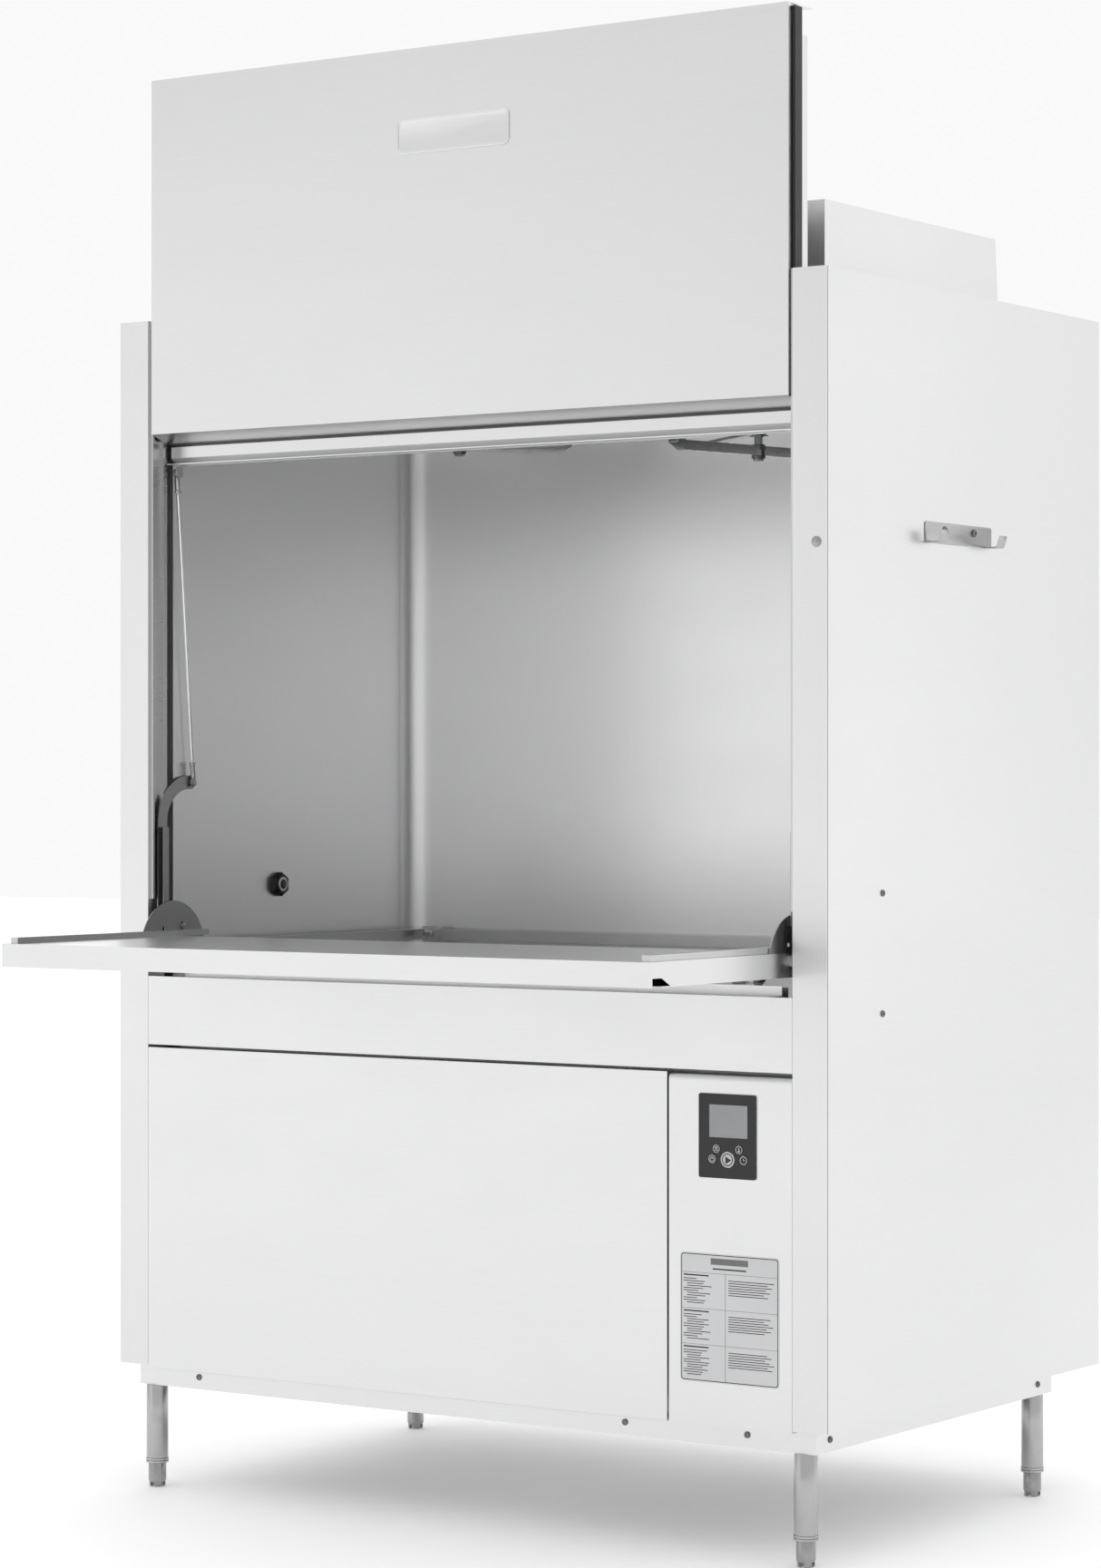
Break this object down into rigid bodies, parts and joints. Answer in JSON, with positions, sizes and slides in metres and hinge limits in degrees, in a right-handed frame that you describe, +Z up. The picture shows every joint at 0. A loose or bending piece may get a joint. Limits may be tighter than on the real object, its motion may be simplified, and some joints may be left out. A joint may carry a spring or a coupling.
{
  "type": "commercial dishwasher",
  "caption": "Front-loading commercial pot and utensil washer on legs, with a sliding upper door linked to a fold-down lower door that serves as a loading shelf.",
  "frame": {"origin": "on the floor, at the middle of the footprint with the loading shelf folded down", "axes": "+Z up, +X to the machine's right as seen by a person facing it, +Y towards the back"},
  "size_m": [1.593, 1.4515, 2.672],
  "materials": {
    "sheet_steel": "fine brushed stainless sheet",
    "door_steel": "fine brushed stainless sheet, door panels",
    "chamber_steel": "satin stainless chamber sheet",
    "tube_steel": "polished stainless tube",
    "fasteners": "stainless fasteners and pins",
    "linkage_steel": "stainless links and brackets",
    "cast_fittings": "dark machined fittings",
    "counterweight_iron": "painted steel bar",
    "slide_plastic": "black low-friction plastic",
    "keypad_black": "black keypad overlay",
    "display_glass": "grey display window",
    "key_plastic": "black keys with silver icons",
    "pump_body": "pump casting",
    "motor_paint": "painted motor",
    "heater": "heater sheath",
    "control_parts": "contactor housings on a plate",
    "cable": "stainless wire rope"
  },
  "bodies": {
    "root": {"base_frame": "sheet_steel", "leg_tubes": "tube_steel", "side_panels": "sheet_steel", "rear_panel": "sheet_steel", "roof_panel": "sheet_steel", "top_cowl": "sheet_steel", "corner_posts": "sheet_steel", "door_header": "chamber_steel", "front_trim_panel": "sheet_steel", "lower_front_panel": "sheet_steel", "control_panel_cover": "sheet_steel", "keypad_fascia": "keypad_black", "display_window": "display_glass", "chamber_liner": "chamber_steel", "wash_tank": "chamber_steel", "strainer_pans": "chamber_steel", "rack_track": "linkage_steel", "wash_pump": "pump_body", "pump_motor": "motor_paint", "wash_piping": "tube_steel", "rinse_piping": "tube_steel", "tank_heater": "heater", "booster_tank": "tube_steel", "drain_assembly": "tube_steel", "control_box": "control_parts", "hook_bracket": "linkage_steel", "wall_port_fitting": "cast_fittings", "post_plug": "fasteners", "cabinet_screws": "fasteners", "door_guide_rails": "linkage_steel", "hinge_pins": "fasteners", "counterbalance_cables": "cable", "door_cable_runs": "cable", "weight_cable_runs": "cable", "pulley_bearings": "slide_plastic"},
    "upper_door": {"upper_door_skin": "door_steel", "upper_door_liner": "door_steel", "door_slide_strips": "slide_plastic", "rod_brackets": "linkage_steel"},
    "lower_door": {"lower_door_pan": "door_steel", "lower_door_liner": "door_steel", "shelf_rails": "linkage_steel", "door_cheeks": "chamber_steel", "crank_arms": "linkage_steel"},
    "tie_rods": {"tie_rods": "tube_steel"},
    "counterweight": {"counterweight": "counterweight_iron"},
    "front_pulleys": {"front_pulleys": "slide_plastic"},
    "rear_pulleys": {"rear_pulleys": "slide_plastic"},
    "levelling_feet": {"levelling_feet": "tube_steel"},
    "upper_wash_arm_left": {"upper_wash_arm_left": "tube_steel"},
    "lower_wash_arm_left": {"lower_wash_arm_left": "tube_steel"},
    "upper_rinse_arm_left": {"upper_rinse_arm_left": "tube_steel"},
    "upper_wash_arm_right": {"upper_wash_arm_right": "tube_steel"},
    "lower_wash_arm_right": {"lower_wash_arm_right": "tube_steel"},
    "upper_rinse_arm_right": {"upper_rinse_arm_right": "tube_steel"},
    "start_key": {"start_key": "key_plastic"},
    "program_key": {"program_key": "key_plastic"},
    "temperature_key": {"temperature_key": "key_plastic"},
    "power_key": {"power_key": "key_plastic"},
    "timer_key": {"timer_key": "key_plastic"}
  },
  "joints": [
    {"name": "upper_door_slide", "type": "slide", "parent": "root", "child": "upper_door", "axis": [0, 0, -1], "range_m": [0, 0.455], "deforming": ["door_cable_runs"]},
    {"name": "lower_door_hinge", "type": "hinge", "parent": "root", "child": "lower_door", "pos_m": [0, -0.27, 1.035], "axis": [1, 0, 0], "range_deg": [-90, 0]},
    {"name": "tie_rod_swing", "type": "hinge", "parent": "upper_door", "child": "tie_rods", "pos_m": [0, -0.234, 1.93123], "axis": [1, 0, 0], "range_deg": [0, 22.29]},
    {"name": "counterweight_slide", "type": "slide", "parent": "root", "child": "counterweight", "axis": [0, 0, 1], "range_m": [0, 0.455], "deforming": ["weight_cable_runs"]},
    {"name": "front_pulley_spin", "type": "hinge", "parent": "root", "child": "front_pulleys", "pos_m": [0, -0.21, 2.16], "axis": [1, 0, 0], "range_deg": [0, 745.35]},
    {"name": "rear_pulley_spin", "type": "hinge", "parent": "root", "child": "rear_pulleys", "pos_m": [0, 0.64, 2.16], "axis": [1, 0, 0], "range_deg": [0, 745.35]},
    {"name": "levelling_feet_screw", "type": "slide", "parent": "root", "child": "levelling_feet", "axis": [0, 0, -1], "range_m": [0, 0.025]},
    {"name": "upper_wash_arm_left_spin", "type": "hinge", "parent": "root", "child": "upper_wash_arm_left", "pos_m": [-0.34, 0.201, 1.996], "axis": [0, 0, 1], "continuous": true},
    {"name": "lower_wash_arm_left_spin", "type": "hinge", "parent": "root", "child": "lower_wash_arm_left", "pos_m": [-0.34, 0.201, 0.985], "axis": [0, 0, 1], "continuous": true},
    {"name": "upper_rinse_arm_left_spin", "type": "hinge", "parent": "root", "child": "upper_rinse_arm_left", "pos_m": [-0.34, 0.201, 2.03], "axis": [0, 0, 1], "continuous": true},
    {"name": "upper_wash_arm_right_spin", "type": "hinge", "parent": "root", "child": "upper_wash_arm_right", "pos_m": [0.34, 0.201, 1.956], "axis": [0, 0, 1], "continuous": true},
    {"name": "lower_wash_arm_right_spin", "type": "hinge", "parent": "root", "child": "lower_wash_arm_right", "pos_m": [0.34, 0.201, 0.985], "axis": [0, 0, 1], "continuous": true},
    {"name": "upper_rinse_arm_right_spin", "type": "hinge", "parent": "root", "child": "upper_rinse_arm_right", "pos_m": [0.34, 0.201, 1.99], "axis": [0, 0, 1], "continuous": true},
    {"name": "start_key_press", "type": "slide", "parent": "root", "child": "start_key", "axis": [0, 1, 0], "range_m": [0, 0.0008], "stiffness_N_per_m": 600},
    {"name": "program_key_press", "type": "slide", "parent": "root", "child": "program_key", "axis": [0, 1, 0], "range_m": [0, 0.0008], "stiffness_N_per_m": 600},
    {"name": "temperature_key_press", "type": "slide", "parent": "root", "child": "temperature_key", "axis": [0, 1, 0], "range_m": [0, 0.0008], "stiffness_N_per_m": 600},
    {"name": "power_key_press", "type": "slide", "parent": "root", "child": "power_key", "axis": [0, 1, 0], "range_m": [0, 0.0008], "stiffness_N_per_m": 600},
    {"name": "timer_key_press", "type": "slide", "parent": "root", "child": "timer_key", "axis": [0, 1, 0], "range_m": [0, 0.0008], "stiffness_N_per_m": 600}
  ],
  "couplings": [
    {"joint": "lower_door_hinge", "follows": "upper_door_slide", "rad_per_m": -3.4523},
    {"joint": "tie_rod_swing", "follows": "upper_door_slide", "rad_per_m": 0.85446},
    {"joint": "counterweight_slide", "follows": "upper_door_slide", "ratio": 1},
    {"joint": "front_pulley_spin", "follows": "upper_door_slide", "rad_per_m": 28.571},
    {"joint": "rear_pulley_spin", "follows": "upper_door_slide", "rad_per_m": 28.571}
  ]
}
